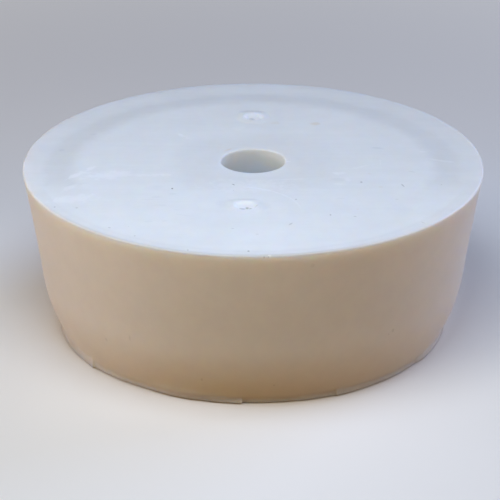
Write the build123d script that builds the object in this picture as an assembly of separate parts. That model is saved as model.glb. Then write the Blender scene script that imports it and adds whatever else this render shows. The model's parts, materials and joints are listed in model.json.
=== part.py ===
from build123d import *
import os
from math import cos, radians, sin

# Rubber stopper, moulded in one piece: a tapered plug with a rounded nose and a bore through its middle.
# It stands on its narrow end. The bore runs along +Z, and the origin is the middle of the foot.

# Plug
top_diameter = 68.0
rim_height = 25.1
rim_edge_radius = 0.25
wall_hollow = 0.12
shoulder_diameter = 63.4
shoulder_height = 9.3
foot_diameter = 57.25
nose_bulge = 0.514

# Raised pad on the wide end, with a soft slope down to the rim and a shallow dip towards the bore
crown_rise = 0.2
crown_diameter = 50.4
crown_dip = 0.15
crown_dip_diameter = 28.0
crown_slope_diameter = 60.0
slope_low_share = 0.52
slope_high_share = 0.38

# Bore
bore_diameter = 9.5
mouth_bevel = 0.2

# Moulding flash round the foot: how far it stood out before trimming, and what the knife left of it
flash_reach = 0.9
flash_thickness = 0.24
flash_flare = 0.3
flash_trim_angles = [
    (4, 38), (38, 71), (71, 102), (102, 139), (139, 168), (168, 180), (218, 230), (230, 240),
    (240, 267), (267, 283), (283, 294), (294, 301), (301, 325), (325, 364),
]
flash_kept_shares = [0.54, 0.9, 0.48, 0.66, 0.24, 0.74, 0.56, 0.46, 0.54, 0.23, 0.25, 0.52, 0.45, 0.6]

# Gate marks, where the rubber ran into the mould: a low swelling, torn out to a cup with a deeper root
gate_pitch = 35.15
gate_shift_left = 0.53
gate_turn_angle = 1.86
gate_swell_diameter = 6.0
gate_swell_rise = 0.3
gate_cup_diameter = 3.4
gate_cup_depth = 0.5
gate_root_diameter = 1.2
gate_root_depth = 0.95

# Clearance that a cut runs past the surface it opens
overrun = 1.0

top_radius = top_diameter / 2
foot_radius = foot_diameter / 2
bore_radius = bore_diameter / 2
crown_height = rim_height + crown_rise
mouth_height = crown_height - crown_dip
flash_radius = foot_radius + flash_reach


def nearest(vertices, place):
    """The one of the vertices that lies closest to a place in the section."""
    return vertices.sort_by_distance(place)[0]


def bowed_arc(start, end, bow):
    """Arc from start to end whose middle stands to the left of the straight way by the bow."""
    way = end - start
    left = Vector(-way.Y, way.X).normalized()
    return ThreePointArc(start, (start + end) / 2 + left * bow, end)


def plug_section():
    """Half section of the stopper in the XZ plane, from the bore's wall out to the rim."""
    shoulder = Vector(shoulder_diameter / 2, shoulder_height)
    rim = Vector(top_radius, rim_height)
    foot_corner = Vector(foot_radius, flash_thickness)
    slope_foot = Vector(crown_slope_diameter / 2, rim_height)
    slope_head = Vector(crown_diameter / 2, crown_height)
    slope_run = slope_foot.X - slope_head.X

    wall = bowed_arc(shoulder, rim, wall_hollow)
    nose = bowed_arc(shoulder, foot_corner, nose_bulge)
    slope = Bezier(
        slope_foot,
        (slope_foot.X - slope_run * slope_low_share, rim_height),
        (slope_head.X + slope_run * slope_high_share, crown_height),
        slope_head,
    )
    outline = Curve() + [
        wall,
        nose,
        Polyline(foot_corner, (flash_radius, flash_thickness), (flash_radius, 0), (bore_radius, 0)),
        Polyline((bore_radius, 0), (bore_radius, mouth_height), (crown_dip_diameter / 2, crown_height), slope_head),
        slope,
        Line(slope_foot, rim),
    ]
    section = make_face(outline)
    section = fillet(nearest(section.vertices(), rim), rim_edge_radius)
    section = chamfer(nearest(section.vertices(), foot_corner), flash_flare)
    mouths = [nearest(section.vertices(), Vector(bore_radius, z)) for z in (0, mouth_height)]
    return chamfer(mouths, mouth_bevel)


def flash_trim(start_angle, end_angle, kept_share):
    """Ring sector that takes the flash back to the share of its reach that the knife left."""
    kept_radius = foot_radius + flash_reach * kept_share
    cut_height = flash_thickness + flash_flare
    blade = Pos(kept_radius, -overrun) * Rectangle(
        flash_reach + overrun, cut_height + overrun, align=(Align.MIN, Align.MIN)
    )
    return revolve(Rot(Z=start_angle) * (Plane.XZ * blade), Axis.Z, end_angle - start_angle)


def cap_radius(cap_diameter, cap_height):
    """Radius of the sphere that has a cap of this diameter and height."""
    return ((cap_diameter / 2) ** 2 + cap_height**2) / (2 * cap_height)


def gate_swelling():
    """Low dome on the crown's plane, with a straight shank that sinks into the crown."""
    edge = Vector(gate_swell_diameter / 2, 0)
    summit = Vector(0, gate_swell_rise)
    dome = TangentArc(summit, edge, tangent=(1, 0))
    shank = Polyline(edge, (edge.X, -overrun), (0, -overrun), summit)
    return revolve(Plane.XZ * make_face(Curve() + [dome, shank]), Axis.Z)


def add_gate_mark(body, x, y):
    """Raises the swelling at x, y on the crown and tears the cup and its root out of it."""
    mark = Pos(x, y, crown_height)
    cup_radius = cap_radius(gate_cup_diameter, gate_cup_depth)
    cup = Pos(Z=cup_radius - gate_cup_depth) * Rot(Y=-90) * Sphere(cup_radius)
    root = Pos(Z=-gate_root_depth) * Cylinder(
        gate_root_diameter / 2, gate_root_depth, align=(Align.CENTER, Align.CENTER, Align.MIN)
    )
    body += mark * gate_swelling()
    body -= mark * cup
    return body - mark * root


def make_stopper():
    """The whole moulding: turned section, trimmed flash and two gate marks."""
    body = revolve(Plane.XZ * plug_section(), Axis.Z)
    for (start_angle, end_angle), kept_share in zip(flash_trim_angles, flash_kept_shares):
        body -= flash_trim(start_angle, end_angle, kept_share)
    gate_radius = gate_pitch / 2
    for side_angle in (90, 270):
        angle = radians(side_angle - gate_turn_angle)
        x = gate_radius * cos(angle) - gate_shift_left
        y = gate_radius * sin(angle)
        body = add_gate_mark(body, x, y)
    return body


os.makedirs("parts", exist_ok=True)
export_step(make_stopper(), "parts/stopper.step")
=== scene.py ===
import json
from math import atan2, cos, hypot, pi, radians, sin
import bpy
import numpy as np
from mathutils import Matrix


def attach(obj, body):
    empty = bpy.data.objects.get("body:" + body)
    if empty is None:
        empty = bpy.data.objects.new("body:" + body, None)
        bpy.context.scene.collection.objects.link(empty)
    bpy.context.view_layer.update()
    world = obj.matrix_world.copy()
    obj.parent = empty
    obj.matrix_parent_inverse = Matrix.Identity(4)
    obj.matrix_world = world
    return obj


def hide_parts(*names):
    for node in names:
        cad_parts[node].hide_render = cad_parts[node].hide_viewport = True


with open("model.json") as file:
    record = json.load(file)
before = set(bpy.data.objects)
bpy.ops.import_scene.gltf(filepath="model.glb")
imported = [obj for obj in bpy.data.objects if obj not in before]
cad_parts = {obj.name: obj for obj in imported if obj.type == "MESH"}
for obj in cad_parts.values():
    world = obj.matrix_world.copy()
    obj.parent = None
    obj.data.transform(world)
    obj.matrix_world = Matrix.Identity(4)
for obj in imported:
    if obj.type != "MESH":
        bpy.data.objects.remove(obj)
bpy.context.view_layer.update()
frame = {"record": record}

# Rubber stopper: the form
# One piece of off-white rubber, pressed hot in a two-part mould: a tapered plug with a rounded nose, a soft
# raised pad on its wide end and a bore left by a core pin. It is turned about +Z and given in millimetres.

mount_sizes = {mount["name"]: mount["dims"] for mount in frame["record"]["mounts"]}
bore_radius = mount_sizes["tube_bore"]["r_mm"]
mouth_rounding = 0.2
# Corners of the half section, as radius and height
rim_corner = (34.0, 25.1)
shoulder = (31.7, 9.3)
foot_corner = (28.625, 0.24)
rim_rounding = 0.25
wall_hollow = 0.12
nose_bulge = 0.514
crown_height = 25.3
crown_radius = 25.2
crown_slope_radius = 30.0
crown_dip = 0.15
crown_dip_radius = 14.0
slope_low_share = 0.52
slope_high_share = 0.38


def bowed(start, end, bow, shares):
    """Shallow arc: shares of the way from start to end, moved to its left by a parabola of height bow."""
    way = np.array(end) - np.array(start)
    left = np.array([-way[1], way[0]]) / np.hypot(*way)
    share = np.asarray(shares)[:, None]
    return np.array(start) + share * way + 4 * share * (1 - share) * bow * left


def rounding(centre, radius, start_angle, end_angle, count):
    """Arc of a circle: the centre plus the radius along each angle, in degrees."""
    angle = np.radians(np.linspace(start_angle, end_angle, count))
    return np.array(centre) + radius * np.stack([np.cos(angle), np.sin(angle)], 1)


def level(radii, height):
    """Rings of these radii in one plane."""
    return np.stack([radii, np.full(len(radii), height)], 1)


def soft_slope(count):
    """Cubic curve from the rim's plane up to the pad's: level at both ends, steepest between them."""
    run = crown_slope_radius - crown_radius
    low, high = rim_corner[1], crown_height
    hold = np.array([
        (crown_slope_radius, low),
        (crown_slope_radius - run * slope_low_share, low),
        (crown_radius + run * slope_high_share, high),
        (crown_radius, high),
    ])
    t = np.linspace(0, 1, count)[:, None]
    weights = [(1 - t) ** 3, 3 * t * (1 - t) ** 2, 3 * t**2 * (1 - t), t**3]
    return sum(weight * point for weight, point in zip(weights, hold))


def pad_height(radii):
    """Level pad that falls evenly from the dip's radius to the bore."""
    inward = np.clip((crown_dip_radius - radii) / (crown_dip_radius - bore_radius), 0, 1)
    return crown_height - crown_dip * inward


# Moulding flash round the foot
# A skin of rubber that crept between the mould's halves. It was trimmed with a knife held aslant, in short
# cuts that run in or out, and one stretch on the left was left whole. Its top flares softly into the nose.

flash_thickness = 0.2
flash_reach = 0.9
# Angle in degrees where a cut starts, then the share of the reach that it leaves at its start and its end
flash_cuts = [
    (4, 0.54, 0.5), (38, 0.9, 0.85), (71, 0.48, 0.52), (102, 0.66, 0.6), (139, 0.24, 0.3),
    (168, 0.74, 0.7), (180, 0.76, 0.78), (214, 0.78, 0.97), (218, 0.82, 0.58), (221, 0.57, 0.53),
    (230, 0.47, 0.33), (237, 0.33, 0.36), (240, 0.38, 0.64), (246, 0.65, 0.66), (253, 0.6, 0.53),
    (257, 0.6, 0.64), (267, 0.23, 0.3), (283, 0.37, 0.38), (292, 0.42, 0.55), (294, 0.72, 0.68),
    (296, 0.64, 0.5), (303, 0.48, 0.46), (316, 0.42, 0.4), (325, 0.5, 0.72), (329, 0.71, 0.6),
    (341, 0.6, 0.55),
]
whole_stretch = (180, 218)
knife_slant = 0.26
whole_slant = 0.05
# Waves round the foot, their phase and their height
ragged_waves = [(23, 0.3, 0.012), (57, 1.3, 0.01), (131, 0.4, 0.006)]
underside_step = 0.3
cut_middle_share = 0.35
cut_height_shares = np.array([0.0, 0.0, 0.5, 0.85])
lip_step = 0.03
# Angle in degrees, then how far the flare leans in for each millimetre of its rise
flare_falls = [(254, 0.1), (264, 0.45), (266.9, 0.45), (267.1, 0.1)]
# Angle in degrees, then how softly the flare runs into the nose there
flare_blends = [(236, 0.1), (248, 0.3), (258, 0.3), (266, 0.18), (268, 0.1)]
flare_rises = np.array([0.0, 0.06, 0.14, 0.24, 0.36, 0.5, 0.65, 0.8, 0.95, 1.15, 1.4, 1.75, 2.1])
nose_samples = 201
nose_line = bowed(foot_corner, shoulder, -nose_bulge, np.linspace(0, 1, nose_samples))


def nose_radius(height):
    """Radius of the nose at a height."""
    return np.interp(height, nose_line[:, 1], nose_line[:, 0])


def flash_edge(angle):
    """Radius of the flash's edge and slant of its cut: even along a cut, with a step at the next one."""
    starts, first, last = (np.array(column) for column in zip(*flash_cuts))
    cut = (np.searchsorted(starts, angle, side="right") - 1) % len(starts)
    length = (np.roll(starts, -1) - starts) % 360
    along = ((angle - starts[cut]) % 360) / length[cut]
    kept = first[cut] + (last - first)[cut] * along
    turn = np.radians(angle)
    ragged = sum(height * np.sin(waves * turn + phase) for waves, phase, height in ragged_waves)
    whole = (angle > whole_stretch[0]) & (angle < whole_stretch[1])
    return foot_corner[0] + flash_reach * kept + ragged, np.where(whole, whole_slant, knife_slant)


def flash_rings(angle):
    """Rings from the foot's plane round the flash's edge and up a flare that blends into the nose.

    The flare's radius is the nose's plus b log(1 + exp(d / b)), with d the lean's distance past the nose
    and b the blend, so it keeps to the larger of the two and rounds the corner between them.
    """
    edge, slant = (column[:, None] for column in flash_edge(angle))
    cut_foot = edge - slant
    under = np.concatenate([cut_foot - underside_step, cut_foot, edge - cut_middle_share * slant, edge], 1)
    under_height = cut_height_shares * flash_thickness * np.ones_like(under)
    rise = flash_thickness + flare_rises
    nose = nose_radius(rise)
    fall = np.interp(angle, *zip(*flare_falls))[:, None]
    past_nose = edge - lip_step - fall * flare_rises - nose
    blend = np.interp(angle, *zip(*flare_blends))[:, None]
    flare = nose + blend * np.logaddexp(0, past_nose / blend)
    flare_height = np.broadcast_to(rise, flare.shape)
    return np.concatenate([under, flare], 1), np.concatenate([under_height, flare_height], 1)


# Gate marks and witness line on the pad
# The rubber ran into the mould through two gates. Each was torn off and left a low swelling with a ragged
# cup in it and a deeper root. A fine raised line beside the front one is the print of a joint in the mould.

front_gate = {
    "place": (-1.1, -17.54), "turn": 0.6,
    "root": (-0.75, -18.1), "root_half_size": (0.5, 0.4), "root_depth": 0.15,
}
back_gate = {
    "place": (0.04, 17.6), "turn": 2.3,
    "root": (-0.2, 16.9), "root_half_size": (0.68, 0.6), "root_depth": 0.2,
}
swell_rise = 0.2
swell_width = 1.3
cup_radius = 1.66
cup_fall = 0.2
cup_fall_start = 1.1
cup_wall = 0.7
root_floor_share = 0.5
# Waves round the cup's edge, how many times its turn shifts them, and their height as a share of its radius
cup_edge_waves = [(2, 1, 0.07), (3, -2, 0.05), (7, 1, 0.03)]
# Waves along X and along Y in radians a millimetre, then phase and height
cup_waves = [(1.3, 2.1, 0.4, 0.03), (-2.9, 1.7, 1.9, 0.02), (4.1, 3.3, 0.8, 0.012)]
pad_waves = [
    (0.42, 0.13, 0.4, 0.012), (-0.2, 0.51, 2.1, 0.01), (0.81, -0.62, 1.2, 0.006), (0.15, 0.95, 3.7, 0.006),
]
pad_waves_inner = bore_radius + 2
pad_waves_outer = 31.5
pad_waves_end = 33.2
witness_centre = (-3.11, -20.27)
witness_radius = 10.04
witness_start_angle = 8
witness_end_angle = 86
witness_fade_angle = 12
witness_width = 0.22
witness_rise = 0.05


def smooth_step(value, start, end):
    """Nothing at start, one at end, and 3t² - 2t³ of the way between."""
    t = np.clip((value - start) / (end - start), 0, 1)
    return t * t * (3 - 2 * t)


def bell(distance, width):
    """One in the middle and nothing from width on: the square of 1 - (distance / width)²."""
    return np.clip(1 - (distance / width) ** 2, 0, None) ** 2


def rippled(x, y, waves):
    """Sum of sine waves over the plane."""
    return sum(height * np.sin(kx * x + ky * y + phase) for kx, ky, phase, height in waves)


def cup_edge(bearing, turn):
    """Ragged round: the cup's radius times one plus a few waves round its bearing."""
    waves = sum(height * np.cos(count * bearing + turns * turn) for count, turns, height in cup_edge_waves)
    return cup_radius * (1 + waves)


def gate_relief(x, y, place, turn, root, root_half_size, root_depth):
    """Height of a gate mark: a swelling round a cup that falls from its back edge to a steep front wall."""
    across, along = x - place[0], y - place[1]
    distance = np.hypot(across, along)
    edge = cup_edge(np.arctan2(along, across), turn)
    swelling = swell_rise * bell(np.clip(distance - edge, 0, None), swell_width)
    slope = cup_fall * (cup_fall_start * cup_radius - along)
    fall = np.clip(slope + rippled(across, along, cup_waves), 0, None)
    depth = fall * smooth_step(edge - distance, 0, cup_wall)
    pit = np.hypot((x - root[0]) / root_half_size[0], (y - root[1]) / root_half_size[1])
    return swelling - depth - root_depth * smooth_step(-pit, -1.0, -root_floor_share)


def witness_relief(x, y):
    """Height of the fine line: a bell across an arc of a circle, fading out towards both ends."""
    away_x, away_y = x - witness_centre[0], y - witness_centre[1]
    bearing = np.degrees(np.arctan2(away_y, away_x))
    fade = smooth_step(bearing, witness_start_angle, witness_start_angle + witness_fade_angle)
    fade = fade * smooth_step(-bearing, -witness_end_angle, witness_fade_angle - witness_end_angle)
    return witness_rise * fade * bell(np.hypot(away_x, away_y) - witness_radius, witness_width)


def pad_relief(x, y):
    """Height of all that stands on or is torn out of the wide end, over its turned form."""
    radius = np.hypot(x, y)
    inside = smooth_step(radius, bore_radius + mouth_rounding, pad_waves_inner)
    inside = inside * smooth_step(-radius, -pad_waves_end, -pad_waves_outer)
    marks = gate_relief(x, y, **front_gate) + gate_relief(x, y, **back_gate)
    return inside * rippled(x, y, pad_waves) + marks + witness_relief(x, y)


# The whole moulding as one closed skin
# The section's rings are carried round the axis. Lines and rings lie closest where the gate marks, the
# witness line and the knife's steps are, so that those have true edges.

MM = 0.001
fine_step = 0.45
plain_step = 1.5
knife_gap = 0.1
# Angles in degrees where a stretch of lines starts and ends, and their step
line_stretches = [
    (79, 102, fine_step), (102, 254, plain_step), (254, 306, fine_step), (306, 439, plain_step),
]
# First and last radius, or height, of a run of rings, and their count
foot_run = (5.6, 28.1, 12)
land_run = (33.3, 30.4, 8)
pad_runs = [(24.8, 22.0, 7), (21.85, 9.4, 88), (9.0, 5.15, 9)]
bore_run = (23.0, 1.0, 16)
bore_top_depths = np.array([0.5, 0.9, 1.4])
lower_mouth_count = 6
upper_mouth_count = 8
nose_count = 13
wall_count = 20
wall_top_share = 0.1
wall_top_count = 6
rim_steps = 9
slope_count = 18

cut_starts = np.array(flash_cuts)[:, 0]
even_angles = np.concatenate([np.arange(*stretch) for stretch in line_stretches])
angles = np.concatenate([even_angles, cut_starts - knife_gap, cut_starts + knife_gap])
angles = np.unique(np.round(angles % 360, 3))

chord = np.subtract(rim_corner, shoulder)
rim_lean = atan2(chord[0], chord[1]) + 4 * wall_hollow / hypot(*chord)
rim_setback = rim_rounding * (1 + sin(rim_lean))
rim_centre = (rim_corner[0] - rim_setback / cos(rim_lean), rim_corner[1] - rim_rounding)
wall_end_share = 1 - rim_setback / chord[1]
wall_top_start = wall_end_share - wall_top_share
mouth_middle = bore_radius + mouth_rounding
mouth_height = crown_height - crown_dip

foot_rings = np.concatenate([
    rounding((mouth_middle, mouth_rounding), mouth_rounding, 180, 270, lower_mouth_count),
    level(np.linspace(*foot_run), 0),
])
nose_heights = np.linspace(flash_thickness + flare_rises[-1], shoulder[1], nose_count)[1:]
wall_shares = np.concatenate([
    np.linspace(0, wall_top_start, wall_count)[1:],
    np.linspace(wall_top_start, wall_end_share, wall_top_count)[1:],
])
side_rings = np.concatenate([
    np.stack([nose_radius(nose_heights), nose_heights], 1),
    bowed(shoulder, rim_corner, wall_hollow, wall_shares),
    rounding(rim_centre, rim_rounding, -np.degrees(rim_lean), 90, rim_steps + 1)[1:],
])
pad_radii = np.concatenate([np.linspace(*run) for run in pad_runs])
top_rings = np.concatenate([
    level(np.linspace(*land_run), rim_corner[1]),
    soft_slope(slope_count),
    np.stack([pad_radii, pad_height(pad_radii)], 1),
])
bore_heights = np.concatenate([mouth_height - bore_top_depths, np.linspace(*bore_run)])
bore_rings = np.concatenate([
    rounding((mouth_middle, mouth_height - mouth_rounding), mouth_rounding, 90, 180, upper_mouth_count),
    np.stack([np.full(len(bore_heights), bore_radius), bore_heights], 1),
])


def carried_round(rings):
    """The same radii and heights on every angle."""
    shape = (len(angles), len(rings))
    return np.broadcast_to(rings[:, 0], shape), np.broadcast_to(rings[:, 1], shape)


stretches = [carried_round(foot_rings), flash_rings(angles), carried_round(side_rings)]
top_start = sum(radii.shape[1] for radii, heights in stretches)
top_end = top_start + len(top_rings)
rim_start = top_start - rim_steps
stretches += [carried_round(top_rings), carried_round(bore_rings)]
radius = np.concatenate([radii for radii, heights in stretches], 1)
height = np.concatenate([heights for radii, heights in stretches], 1)
turn = np.radians(angles)[:, None]
x, y = radius * np.cos(turn), radius * np.sin(turn)
on_top = np.zeros(radius.shape[1])
on_top[top_start:top_end] = 1
height = height + on_top * pad_relief(x, y)


def closed_skin(name, x, y, z):
    """Mesh of a grid that closes on itself both ways: a face joins two rings on two neighbouring lines."""
    lines, rings = x.shape
    line, ring = np.meshgrid(np.arange(lines), np.arange(rings), indexing="ij")
    next_line, next_ring = (line + 1) % lines, (ring + 1) % rings
    corners = [
        line * rings + ring,
        next_line * rings + ring,
        next_line * rings + next_ring,
        line * rings + next_ring,
    ]
    mesh = bpy.data.meshes.new(name)
    mesh.vertices.add(x.size)
    mesh.vertices.foreach_set("co", (np.stack([x, y, z], -1) * MM).astype(np.float32).ravel())
    mesh.loops.add(4 * x.size)
    mesh.loops.foreach_set("vertex_index", np.stack(corners, -1).astype(np.int32).ravel())
    mesh.polygons.add(x.size)
    mesh.polygons.foreach_set("loop_start", np.arange(0, 4 * x.size, 4, dtype=np.int32))
    mesh.polygons.foreach_set("use_smooth", np.ones(x.size, dtype=bool))
    mesh.update()
    mesh.validate()
    return mesh


skin = closed_skin("stopper_skin", x, y, height)
stopper = bpy.data.objects.new("stopper_skin", skin)
bpy.context.collection.objects.link(stopper)
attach(stopper, "root")
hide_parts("stopper")

# Coat and painted light on the skin
# Bloom has come out on the wide end and over the rim's rounding. Just below the rim, a paler band is
# painted light: the glow of light through the rubber. The rim at the front and the bore's mouth are
# painted darker, as shade that damps the highlight of their rounded edges. The gates are torn open and
# their cups are paler, partly as fresh rubber and partly as painted light. Painted shade lies on the
# flash. Each of these lies on the skin as a share from 0 to 1.

bore_bloom_share = 0.9
rim_bloom_share = 0.35
# Paler band just below the rim: painted light, the glow of light through the rubber
below_rim_glow_shares = [0.0, 0.02, 0.06, 0.14, 0.3]
# Painted shade on the bore's mouth, ring by ring
mouth_shade_shares = [0.1, 0.2, 0.35, 0.45, 0.45, 0.45, 0.45, 0.4, 0.3, 0.15, 0.05]
below_rim_shade_share = 0.4
above_rim_shade_share = 0.15
# Angles in degrees where the rim's painted shade starts, is full, begins to fade and ends
rim_shade_start, rim_shade_full, rim_shade_fade, rim_shade_end = 200, 232, 280, 318
torn_radius = 1.75
torn_full_radius = 1.25
# Angle round the foot in degrees, then how strong the painted shade on the flash is there
flash_shade_by_angle = [
    (120, 0.6), (205, 0.7), (214, 0.4), (226, 0.38), (238, 0.5), (247, 1.0), (263, 0.95), (270, 0.35),
    (284, 0.4), (298, 0.7), (311, 0.4), (326, 0.4), (350, 0.6),
]
flash_shade_top = 1.5
flash_shade_full_height = 0.8

# Bloom on the wide end, rim and bore, with a painted glow just below the rim
bloom_and_glow_share = on_top.copy()
bloom_and_glow_share[top_end:] = bore_bloom_share
rim_rise = smooth_step(np.arange(rim_steps), 0, rim_steps)
bloom_and_glow_share[rim_start:top_start] = rim_bloom_share + (1 - rim_bloom_share) * rim_rise
# Painted glow below the rim
bloom_and_glow_share[rim_start - len(below_rim_glow_shares):rim_start] = below_rim_glow_shares

# Painted shade on the rim's rounding at the front and on the bore's mouth, which damps their highlight
rim_shade = np.zeros(radius.shape[1])
rim_shade[rim_start - 1:top_start + 1] = [below_rim_shade_share, *np.ones(rim_steps), above_rim_shade_share]
mouth_shade = np.zeros(radius.shape[1])
mouth_shade[top_end:top_end + len(mouth_shade_shares)] = mouth_shade_shares
rim_shade_round = smooth_step(angles, rim_shade_start, rim_shade_full) * smooth_step(-angles, -rim_shade_end, -rim_shade_fade)
edge_shade_share = rim_shade * rim_shade_round[:, None] + mouth_shade

# Torn cups: fresh rubber, and painted light on their lit far walls
torn_and_lit_share = np.zeros_like(radius)
for gate in (front_gate, back_gate):
    gate_distance = np.hypot(x - gate["place"][0], y - gate["place"][1])
    torn_and_lit_share = np.maximum(torn_and_lit_share, smooth_step(-gate_distance, -torn_radius, -torn_full_radius))

on_side = np.zeros(radius.shape[1])
on_side[len(foot_rings):top_start] = 1
# Painted shade on the flash, which lies in the overhanging nose's shadow
flash_shade_strength = np.interp(angles, *zip(*flash_shade_by_angle), period=360)[:, None]
flash_shade_share = flash_shade_strength * on_side * smooth_step(-height, -flash_shade_top, -flash_shade_full_height)

shares = {
    "wide_end": np.broadcast_to(bloom_and_glow_share, radius.shape),
    "edge_shade": edge_shade_share,
    "flash_shade": flash_shade_share,
    "torn": on_top * torn_and_lit_share,
    "witness": on_top * (witness_relief(x, y) / witness_rise),
}
for name, share in shares.items():
    layer = skin.attributes.new(name, "FLOAT", "POINT")
    layer.data.foreach_set("value", share.astype(np.float32).ravel())

# White rubber
# Filled off-white rubber, matt and a little translucent. Its side is a little creamier than the pad, partly
# the rubber's own tone and partly painted warm bounce light, and it is paler towards the rim as painted
# light.
# The bloom, a chalky wax that comes out of rubber with age, is a thin coat with a barer ring, rubbed
# streaks, faint strokes and stains, and a few specks of dirt stick to it. Painted shade lies round and in
# the gate marks, and a painted highlight lies along the witness line.

# Creamy side: partly the rubber's own tone, partly painted warm bounce light
side_colour_and_warm_bounce = (0.80, 0.785, 0.745)
# Paler upper side: painted light
side_painted_light_colour = (0.84, 0.825, 0.785)
bare_colour = (0.715, 0.72, 0.715)
bloom_colour = (0.81, 0.82, 0.815)
# Pale of rubbed bloom, also used for the painted highlight on the witness line
pale_rub_and_highlight_colour = (0.90, 0.905, 0.905)
# Paler torn cups: fresh rubber and painted light on their lit far walls
torn_and_lit_colour = (0.88, 0.88, 0.875)
# Painted shade for the rounded rim at the front and the bore's mouth
edge_shade_colour = (0.62, 0.62, 0.605)
# Painted shade for the flash at the foot
flash_shade_colour = (0.60, 0.535, 0.475)
# Dark olive dirt in the gate cups, with painted shade in their crevices
dirt_and_shade_colour = (0.36, 0.36, 0.29)
speck_colour = (0.16, 0.15, 0.14)
stain_colour = (0.70, 0.62, 0.48)
# Grey smudges, and painted shade on the gate swellings
smudge_and_shade_colour = (0.60, 0.62, 0.64)
# Painted highlight along the raised witness line
witness_highlight = 0.6

# Waves a metre, detail and roughness of each noise
cloud_noise = (70.0, 3.0, 0.55)
mottle_noise = (330.0, 3.0, 0.6)
grain_noise = (2600.0, 2.0, 0.6)
fray_noise = (900.0, 3.0, 0.65)
patch_noise = (260.0, 3.0, 0.6)
wipe_noise = (1.0, 3.0, 0.6)
wipe_stretch = (60.0, 800.0, 60.0)
noise_span = (0.3, 0.7)
mottle_span = (0.25, 0.75)
mark_wander = 0.35
rub_fray = 0.55
wipe_bloom = (-0.1, 0.06)
mottle_tone = (0.98, 1.01)
cloud_tone = (-0.015, 0.01)
mottle_roughness = (0.5, 0.58)
rubbed_roughness = 0.12
grain_relief = 0.35
mottle_relief = 0.8

# Radius on the wide end in millimetres, then how thick the bloom lies there
bloom_by_radius = [
    (2.5, 1.0), (6.0, 0.5), (7.5, 0.4), (9.5, 0.5), (14.5, 0.95), (25.0, 1.0), (28.0, 0.2), (29.5, 0.25),
    (31.5, 0.75), (33.0, 0.8), (36.0, 0.45),
]
bloom_shift = (0.0, 2.2 * MM, 0.0)
bloom_wander = 0.35 * MM
front_bloom_span = (4 * MM, 14 * MM)
rim_bloom_span = (33.5 * MM, 31.5 * MM)
side_painted_light_span = (12 * MM, 22 * MM)
# Shares of a mark's half sizes at which it has faded out and at which it is full
mark_end, mark_full = 1.3, 0.4
# Places on the pad in millimetres, then half length, half width, bearing in degrees and strength
specks = [
    (-11.57, -11.12, 0.22, 0.14, 90, 0.85), (-2.82, -9.47, 0.36, 0.12, 129, 0.7),
    (-2.77, -11.69, 0.15, 0.1, 90, 0.3), (-27.86, -17.45, 0.18, 0.11, 90, 0.35),
    (-24.75, -17.72, 0.18, 0.17, 90, 0.25), (-19.74, -24.69, 0.31, 0.14, 154, 0.5),
    (-17.09, -24.21, 0.14, 0.08, 90, 0.3), (-16.1, -27.39, 0.17, 0.11, 90, 0.35),
    (-8.73, -32.07, 0.2, 0.14, 90, 0.6), (-2.79, -25.32, 0.28, 0.12, 166, 0.35),
    (-0.61, -32.43, 0.19, 0.15, 90, 0.55), (0.57, -27.07, 0.34, 0.12, 0, 0.3),
    (15.6, -8.71, 0.23, 0.16, 90, 0.42), (21.5, -9.9, 0.55, 0.12, 107, 0.4),
    (10.76, -20.66, 0.25, 0.13, 90, 0.42), (14.14, -21.13, 0.25, 0.12, 163, 0.4),
    (5.19, -23.79, 0.4, 0.12, 58, 0.3), (6.08, -15.11, 0.18, 0.14, 90, 0.4),
    (20.34, -15.06, 0.4, 0.2, 7, 0.22), (27.16, -9.13, 0.19, 0.14, 90, 0.25),
    (23.42, -22.74, 0.4, 0.1, 129, 0.25), (23.18, -4.72, 0.5, 0.2, 157, 0.12),
]
stains = [
    (9.66, 14.8, 0.93, 0.74, 0, 0.5), (3.48, 15.21, 0.62, 0.61, 0, 0.2),
    (-3.7, 4.35, 1.0, 0.26, 45, 0.55), (18.3, -10.51, 0.3, 0.29, 90, 0.2),
    (14.62, -18.56, 0.28, 0.22, 90, 0.2), (16.9, -5.55, 0.31, 0.22, 90, 0.18),
]
# Grey patches and strokes on the pad. The four round the gates, at (-1.08, -15.3), (0.08, 20.1), (-3.7,
# -17.2) and (1.6, -17.2), are painted shade on the swellings' far slopes and sides
smudges_and_gate_shade = [
    (18.62, 4.69, 0.9, 0.3, 172, 0.45), (-28.7, 4.17, 0.53, 0.48, 90, 0.4),
    (-24.34, 10.41, 0.51, 0.49, 90, 0.25), (-24.82, -9.33, 1.58, 0.5, 7, 0.2),
    (-15.04, -15.17, 1.56, 0.16, 0, 0.2), (-1.08, -15.3, 1.9, 0.55, 1, 0.5),
    (0.08, 20.1, 2.0, 0.6, 0, 0.45), (-3.7, -17.2, 1.5, 1.3, 0, 0.16),
    (1.6, -17.2, 1.3, 1.3, 0, 0.16), (-14.32, -10.79, 1.3, 1.1, 0, 0.12),
    (-13.78, -14.22, 0.6, 0.26, 0, 0.18), (-13.05, -17.18, 0.8, 0.29, 0, 0.17),
    (-10.75, -18.89, 0.55, 0.25, 0, 0.17), (-9.99, -20.63, 1.5, 0.32, 162, 0.19),
    (-14.41, -22.75, 0.6, 0.24, 0, 0.17), (-12.24, -22.71, 0.45, 0.28, 0, 0.2),
    (-11.37, -13.12, 0.55, 0.26, 0, 0.18), (12.31, -7.7, 0.9, 0.6, 154, 0.17),
    (12.48, -14.69, 0.85, 0.29, 0, 0.18),
]
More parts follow.
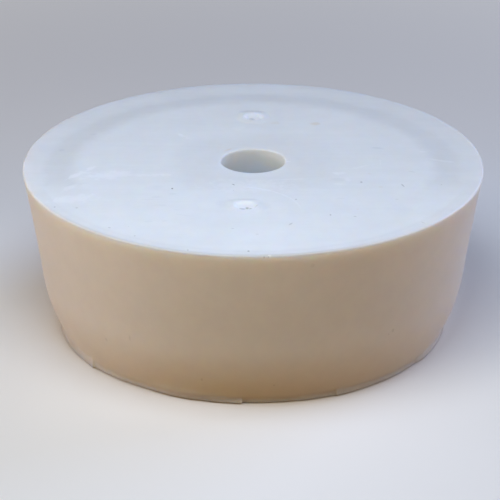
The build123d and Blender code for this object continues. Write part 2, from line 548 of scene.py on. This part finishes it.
rubs = [
    (-25.79, -6.1, 2.04, 0.5, 49, 0.6), (-23.86, -3.64, 1.41, 0.4, 51, 0.7),
    (-21.14, -6.09, 3.24, 1.5, 13, 0.5), (-15.33, -6.07, 3.6, 0.55, 0, 0.5),
    (-25.56, -14.51, 2.98, 1.4, 10, 0.45), (-26.44, -10.64, 1.64, 0.6, 43, 0.45),
    (-10.82, 9.99, 1.5, 0.45, 125, 0.8), (-2.23, 13.04, 1.28, 0.92, 90, 0.3),
    (12.37, -5.35, 1.0, 0.46, 4, 0.5), (12.26, -9.38, 0.65, 0.34, 9, 0.4),
    (15.79, -2.87, 1.87, 0.3, 27, 0.4), (25.34, 3.28, 0.6, 0.3, 176, 0.5),
    (27.97, -0.08, 2.17, 0.3, 165, 0.4), (18.77, -0.7, 1.03, 0.12, 90, 0.4),
    (4.57, -7.55, 2.47, 0.18, 4, 0.35), (-0.4, -10.2, 6.0, 2.4, 0, 0.3),
    (-0.29, -31.85, 0.21, 0.16, 0, 0.6), (5.15, -0.39, 0.33, 0.16, 0, 0.7),
    (2.2, -33.8, 0.2, 0.16, 0, 0.9), (13.68, -7.7, 0.58, 0.3, 102, 0.4),
]
# Dark line along the front cup's near lip and arch in the back cup: dirt and painted crevice shade
gate_dirt_and_shade = [
    (-1.6, -17.98, 0.85, 0.2, 178, 0.7), (-0.85, -17.65, 0.28, 0.2, 0, 0.65),
    (-0.3, -17.95, 0.4, 0.18, 165, 0.7), (0.42, -17.7, 0.34, 0.14, 35, 0.4),
    (-0.2, 17.35, 0.72, 0.62, 0, 0.5),
]
# Places on the side as angle and height, then half height, half width and strength
side_specks = [
    (228.7, 7.4, 0.26, 0.26, 0.13), (237.1, 9.1, 0.55, 0.16, 0.12), (308.2, 9.5, 0.26, 0.22, 0.15),
    (306.9, 9.1, 0.2, 0.16, 0.14), (256.5, 4.2, 0.34, 0.16, 0.14), (275.6, 3.6, 0.2, 0.18, 0.14),
    (40.0, 12.0, 0.26, 0.2, 0.14), (118.0, 17.0, 0.4, 0.14, 0.12), (171.0, 6.0, 0.24, 0.2, 0.14),
    (272.5, 24.86, 0.12, 0.1, 0.4), (273.5, 24.9, 0.1, 0.1, 0.35), (283.8, 23.1, 0.3, 0.3, 0.08),
]


def feed(tree, socket, value):
    """Joins a socket to an input, or sets the input to a plain value."""
    if isinstance(value, bpy.types.NodeSocket):
        tree.links.new(value, socket)
    else:
        socket.default_value = value


def calc(tree, operation, *values):
    """Result of a Math node on numbers or sockets."""
    node = tree.nodes.new("ShaderNodeMath")
    node.operation = operation
    for socket, value in zip(node.inputs, values):
        feed(tree, socket, value)
    return node.outputs["Value"]


def vector_calc(tree, operation, *values):
    """Result of a Vector Math node: a number for a dot product or a length, otherwise a vector."""
    node = tree.nodes.new("ShaderNodeVectorMath")
    node.operation = operation
    for socket, value in zip(node.inputs, values):
        feed(tree, socket, value)
    return node.outputs["Value" if operation in ("DOT_PRODUCT", "LENGTH") else "Vector"]


def ramp(tree, value, low, high, start=0.0, end=1.0):
    """Value eased from start to end as it goes from low to high."""
    node = tree.nodes.new("ShaderNodeMapRange")
    node.interpolation_type = "SMOOTHSTEP"
    settings = {"Value": value, "From Min": low, "From Max": high, "To Min": start, "To Max": end}
    for name, setting in settings.items():
        feed(tree, node.inputs[name], setting)
    return node.outputs["Result"]


def blended(tree, share, first, second):
    """Colour that goes from the first to the second by a share."""
    node = tree.nodes.new("ShaderNodeMix")
    node.data_type = "RGBA"
    share_input, first_input, second_input, colour_output = 0, 6, 7, 2
    feed(tree, node.inputs[share_input], share)
    for index, colour in ((first_input, first), (second_input, second)):
        joined = isinstance(colour, bpy.types.NodeSocket)
        feed(tree, node.inputs[index], colour if joined else (*colour, 1.0))
    return node.outputs[colour_output]


def noise(tree, place, scale, detail, roughness):
    """Cloudy noise from 0 to 1, with scale in waves a metre."""
    node = tree.nodes.new("ShaderNodeTexNoise")
    settings = {"Vector": place, "Scale": scale, "Detail": detail, "Roughness": roughness}
    for name, setting in settings.items():
        feed(tree, node.inputs[name], setting)
    return node.outputs[0]


def mark_group():
    """Group that masks one small mark: an oval about its centre, longer one way, with a wandering edge."""
    group = bpy.data.node_groups.new("surface_mark", "ShaderNodeTree")
    wanted = [
        ("Place", "Vector"), ("Centre", "Vector"), ("Along", "Vector"), ("Half Length", "Float"),
        ("Half Width", "Float"), ("Wander", "Float"), ("Strength", "Float"),
    ]
    for name, kind in wanted:
        group.interface.new_socket(name, in_out="INPUT", socket_type=f"NodeSocket{kind}")
    group.interface.new_socket("Mask", in_out="OUTPUT", socket_type="NodeSocketFloat")
    given = group.nodes.new("NodeGroupInput").outputs
    away = vector_calc(group, "SUBTRACT", given["Place"], given["Centre"])
    along = vector_calc(group, "DOT_PRODUCT", away, given["Along"])
    away_squared = vector_calc(group, "DOT_PRODUCT", away, away)
    across_squared = calc(group, "SUBTRACT", away_squared, calc(group, "MULTIPLY", along, along))
    across = calc(group, "SQRT", calc(group, "MAXIMUM", across_squared, 0.0))
    long_share = calc(group, "DIVIDE", along, given["Half Length"])
    wide_share = calc(group, "DIVIDE", across, given["Half Width"])
    long_squared = calc(group, "MULTIPLY", long_share, long_share)
    wide_squared = calc(group, "MULTIPLY", wide_share, wide_share)
    share = calc(group, "SQRT", calc(group, "ADD", long_squared, wide_squared))
    mask = ramp(group, calc(group, "ADD", share, given["Wander"]), mark_end, mark_full)
    result = group.nodes.new("NodeGroupOutput")
    group.links.new(calc(group, "MULTIPLY", mask, given["Strength"]), result.inputs["Mask"])
    return group


rubber = bpy.data.materials.new("white_rubber")
rubber.use_nodes = True
tree = rubber.node_tree
shader = tree.nodes["Principled BSDF"]
surface_mark = mark_group()
place = tree.nodes.new("ShaderNodeTexCoord").outputs["Object"]
plan = vector_calc(tree, "MULTIPLY", place, (1.0, 1.0, 0.0))


def attribute(name):
    """One of the skin's own values."""
    node = tree.nodes.new("ShaderNodeAttribute")
    node.attribute_name = name
    return node.outputs["Fac"]


wide_end = attribute("wide_end")


def marked(marks, where, wander):
    """Strongest of many marks at each place. A mark is a centre, direction, two half sizes and strength."""
    strongest = 0.0
    for centre, along, half_length, half_width, strength in marks:
        node = tree.nodes.new("ShaderNodeGroup")
        node.node_tree = surface_mark
        settings = (where, centre, along, half_length, half_width, wander, strength)
        for socket, setting in zip(node.inputs, settings):
            feed(tree, socket, setting)
        strongest = calc(tree, "MAXIMUM", strongest, node.outputs["Mask"])
    return strongest


def on_pad(marks, wander):
    """Mask of marks on the wide end, seen in plan: bearings in degrees, the rest in millimetres."""
    in_plan = []
    for mark_x, mark_y, half_length, half_width, bearing, strength in marks:
        centre = (mark_x * MM, mark_y * MM, 0.0)
        along = (cos(radians(bearing)), sin(radians(bearing)), 0.0)
        in_plan.append((centre, along, half_length * MM, half_width * MM, strength))
    return calc(tree, "MULTIPLY", marked(in_plan, plan, wander), wide_end)


side_profile = np.concatenate([nose_line[:-1], side_rings[len(nose_heights) - 1:]])


def on_wall(marks, wander):
    """Mask of marks on the side, lying up and down it: angles in degrees, the rest in millimetres."""
    standing = []
    for angle, mark_height, half_length, half_width, strength in marks:
        out = np.interp(mark_height, side_profile[:, 1], side_profile[:, 0])
        centre = (out * cos(radians(angle)) * MM, out * sin(radians(angle)) * MM, mark_height * MM)
        standing.append((centre, (0.0, 0.0, 1.0), half_length * MM, half_width * MM, strength))
    return marked(standing, place, wander)


def by_radius(from_axis, stops):
    """Value given at some radii in millimetres and eased between them."""
    node = tree.nodes.new("ShaderNodeValToRGB")
    node.color_ramp.interpolation = "EASE"
    elements = node.color_ramp.elements
    farthest = stops[-1][0]
    for index, (stop_radius, value) in enumerate(stops):
        share = stop_radius / farthest
        stop = elements[index] if index < len(elements) else elements.new(share)
        stop.position = share
        stop.color = (value, value, value, 1.0)
    feed(tree, node.inputs["Fac"], calc(tree, "DIVIDE", from_axis, farthest * MM))
    return node.outputs["Color"]


cloud = noise(tree, place, *cloud_noise)
mottle = noise(tree, place, *mottle_noise)
grain = noise(tree, place, *grain_noise)
wiped = noise(tree, vector_calc(tree, "MULTIPLY", place, wipe_stretch), *wipe_noise)
wander = ramp(tree, mottle, *noise_span, -mark_wander, mark_wander)
fray = ramp(tree, noise(tree, place, *fray_noise), *noise_span, -rub_fray, rub_fray)

# Bloom by radius, thick towards the front, and wiped
patchy = ramp(tree, noise(tree, place, *patch_noise), *noise_span, -bloom_wander, bloom_wander)
from_bloom = vector_calc(tree, "LENGTH", vector_calc(tree, "ADD", plan, bloom_shift))
ring_bloom = by_radius(calc(tree, "ADD", from_bloom, patchy), bloom_by_radius)
to_front = ramp(tree, vector_calc(tree, "DOT_PRODUCT", plan, (0.0, -1.0, 0.0)), *front_bloom_span)
inside_rim = ramp(tree, vector_calc(tree, "LENGTH", plan), *rim_bloom_span)
bloom = calc(tree, "MAXIMUM", ring_bloom, calc(tree, "MULTIPLY", to_front, inside_rim))
bloom = calc(tree, "ADD", bloom, ramp(tree, wiped, *noise_span, *wipe_bloom))

# Colour, from the rubber itself out to the dirt on it
top_colour = blended(tree, bloom, bare_colour, bloom_colour)
up_side = vector_calc(tree, "DOT_PRODUCT", place, (0.0, 0.0, 1.0))
# Painted light: the side is paler up towards the rim and darker low down
side_tone_and_painted_light = blended(tree, ramp(tree, up_side, *side_painted_light_span), side_colour_and_warm_bounce, side_painted_light_colour)
colour = blended(tree, wide_end, side_tone_and_painted_light, top_colour)
# Painted shade that damps the highlight on the rim at the front and on the bore's mouth
colour = blended(tree, attribute("edge_shade"), colour, edge_shade_colour)
# Painted shade on the flash at the foot
colour = blended(tree, attribute("flash_shade"), colour, flash_shade_colour)
rubbed = on_pad(rubs, fray)
colour = blended(tree, rubbed, colour, pale_rub_and_highlight_colour)
# Painted highlight on the raised witness line
witness = calc(tree, "MULTIPLY", attribute("witness"), witness_highlight)
colour = blended(tree, witness, colour, pale_rub_and_highlight_colour)
# Smudges, with painted shade round the gate marks
colour = blended(tree, on_pad(smudges_and_gate_shade, wander), colour, smudge_and_shade_colour)
# Torn cups: fresh rubber, paler partly as painted light
colour = blended(tree, attribute("torn"), colour, torn_and_lit_colour)
colour = blended(tree, on_pad(stains, wander), colour, stain_colour)
# Dirt and painted shade in the gate cups
colour = blended(tree, on_pad(gate_dirt_and_shade, wander), colour, dirt_and_shade_colour)
dirt = calc(tree, "MAXIMUM", on_pad(specks, wander), on_wall(side_specks, wander))
colour = blended(tree, dirt, colour, speck_colour)
mottled = ramp(tree, mottle, *mottle_span, *mottle_tone)
clouded = ramp(tree, cloud, *noise_span, *cloud_tone)
toned = vector_calc(tree, "SCALE", colour)
feed(tree, toned.node.inputs["Scale"], calc(tree, "ADD", mottled, clouded))
tree.links.new(toned, shader.inputs["Base Color"])

# Matt finish and translucence
roughness = ramp(tree, mottle, *mottle_span, *mottle_roughness)
roughness = calc(tree, "ADD", roughness, calc(tree, "MULTIPLY", rubbed, rubbed_roughness))
tree.links.new(roughness, shader.inputs["Roughness"])
shader.inputs["IOR"].default_value = 1.5
shader.inputs["Subsurface Weight"].default_value = 1.0
shader.inputs["Subsurface Radius"].default_value = (1.0, 0.8, 0.62)
shader.inputs["Subsurface Scale"].default_value = 2.2 * MM

# Fine texture of the mould
bump = tree.nodes.new("ShaderNodeBump")
bump.inputs["Strength"].default_value = 0.5
bump.inputs["Distance"].default_value = 0.02 * MM
grained = calc(tree, "MULTIPLY", grain, grain_relief)
relief = calc(tree, "ADD", grained, calc(tree, "MULTIPLY", mottle, mottle_relief))
tree.links.new(relief, bump.inputs["Height"])
tree.links.new(bump.outputs["Normal"], shader.inputs["Normal"])
skin.materials.append(rubber)

# Studio floor
# A plain pale floor, wide enough for every view. Seen directly or in a mirror it is pale and goes over
# softly into the backdrop. The light that it sends back up is warmer, as from a wooden bench top.

floor_radius = 3.0
floor_sides = 96
floor_drop = 0.00004
floor_pale = (0.92, 0.88, 0.82)
floor_bounce = (0.33, 0.155, 0.04)
backdrop = (0.70, 0.70, 0.70)
backdrop_start, backdrop_end = 0.06, 0.35

floor_turn = np.linspace(0, 2 * pi, floor_sides, endpoint=False)
floor_edge = np.stack([np.cos(floor_turn), np.sin(floor_turn), 0 * floor_turn], 1) * floor_radius
floor_mesh = bpy.data.meshes.new("studio_floor")
floor_mesh.from_pydata((floor_edge - (0, 0, floor_drop)).tolist(), [], [list(range(floor_sides))])
floor = bpy.data.objects.new("studio_floor", floor_mesh)
bpy.context.collection.objects.link(floor)


def sight(tree):
    """Shares of the camera's own rays, and of those that come by a mirror or through glass."""
    path = tree.nodes.new("ShaderNodeLightPath").outputs
    mirrored = calc(tree, "MAXIMUM", path["Is Glossy Ray"], path["Is Transmission Ray"])
    return path["Is Camera Ray"], mirrored


floor_paint = bpy.data.materials.new("studio_floor")
floor_paint.use_nodes = True
floor_tree = floor_paint.node_tree
floor_shader = floor_tree.nodes["Principled BSDF"]
floor_shader.inputs["Roughness"].default_value = 0.9
floor_shader.inputs["Specular IOR Level"].default_value = 0.0
seen = calc(floor_tree, "MAXIMUM", *sight(floor_tree))
floor_colour = blended(floor_tree, seen, floor_bounce, floor_pale)
floor_tree.links.new(floor_colour, floor_shader.inputs["Base Color"])
floor_place = floor_tree.nodes.new("ShaderNodeTexCoord").outputs["Object"]
from_stopper = vector_calc(floor_tree, "LENGTH", floor_place)
faded = ramp(floor_tree, from_stopper, backdrop_start, backdrop_end)
backdrop_glow = floor_tree.nodes.new("ShaderNodeEmission")
backdrop_glow.inputs["Color"].default_value = (*backdrop, 1.0)
far_off = floor_tree.nodes.new("ShaderNodeMixShader")
floor_tree.links.new(calc(floor_tree, "MULTIPLY", seen, faded), far_off.inputs[0])
floor_tree.links.new(floor_shader.outputs["BSDF"], far_off.inputs[1])
floor_tree.links.new(backdrop_glow.outputs["Emission"], far_off.inputs[2])
floor_tree.links.new(far_off.outputs["Shader"], floor_tree.nodes["Material Output"].inputs["Surface"])
floor_mesh.materials.append(floor_paint)

# Studio light
# A small cool softbox hangs close above, a little to the front. Four panels stand round the stopper: two
# warm ones in front, and two cool ones at the left side and the right back. The dark room is pale where
# it is seen.

room_mirrored = (0.52, 0.52, 0.52)
room_light = (0.02, 0.02, 0.02)
# Name, place and size in metres, tint, and power in watts
lamps = [
    ("softbox", (-0.02, -0.068, 0.155), (0.1, 0.1), (0.70, 0.817, 1.0), 0.190),
    ("left_front", (-0.5, -0.3, 0.2), (0.4, 0.3), (1.0, 0.69, 0.03), 0.83),
    ("left_side", (-0.6, -0.02, 0.12), (0.4, 0.2), (0.76, 0.76, 1.0), 1.38),
    ("right_front", (0.5, -0.25, 0.2), (0.4, 0.3), (1.0, 0.85, 0.67), 0.90),
    ("right_back", (0.5, 0.3, 0.25), (0.4, 0.3), (0.42, 0.58, 1.0), 2.27),
]
lamp_aim = np.array([0.0, 0.0, 0.015])

world = bpy.data.worlds.new("studio_room")
world.use_nodes = True
room_tree = world.node_tree
by_camera, by_mirror = sight(room_tree)
room = blended(room_tree, by_mirror, room_light, room_mirrored)
room = blended(room_tree, by_camera, room, backdrop)
room_tree.links.new(room, room_tree.nodes["Background"].inputs["Color"])
bpy.context.scene.world = world


def aimed(start, end):
    """Turn that points a lamp, which looks along its own -Z, from start to end."""
    way = np.subtract(end, start)
    return (atan2(hypot(way[0], way[1]), -way[2]), 0.0, atan2(way[1], way[0]) - pi / 2)


for name, location, size, tint, power in lamps:
    lamp = bpy.data.lights.new(name, "AREA")
    lamp.shape = "RECTANGLE"
    lamp.size, lamp.size_y = size
    lamp.color = tint
    lamp.energy = power
    holder = bpy.data.objects.new(name, lamp)
    holder.location = location
    holder.rotation_euler = aimed(location, lamp_aim)
    holder.visible_camera = False
    bpy.context.collection.objects.link(holder)

# Camera
# It stands in front of the stopper and looks down on it at the photograph's angle. Its axis passes a little
# below the rim's middle, which sets the stopper high in the frame.

camera_lens = 149.64
camera_distance = 0.3080
camera_height_angle = radians(21.869)
camera_tilt = radians(24.326)
camera_pan = radians(0.092)
rim_middle = np.array([0.0, 0.0, rim_corner[1] * MM])
to_camera = np.array([0, -cos(camera_height_angle), sin(camera_height_angle)])

camera = bpy.data.cameras.new("camera")
camera.lens = camera_lens
camera.clip_start = 0.01
camera_holder = bpy.data.objects.new("camera", camera)
camera_holder.location = rim_middle + camera_distance * to_camera
camera_holder.rotation_euler = (pi / 2 - camera_tilt, 0.0, camera_pan)
bpy.context.collection.objects.link(camera_holder)
bpy.context.scene.camera = camera_holder
bpy.context.scene.view_settings.view_transform = "Standard"
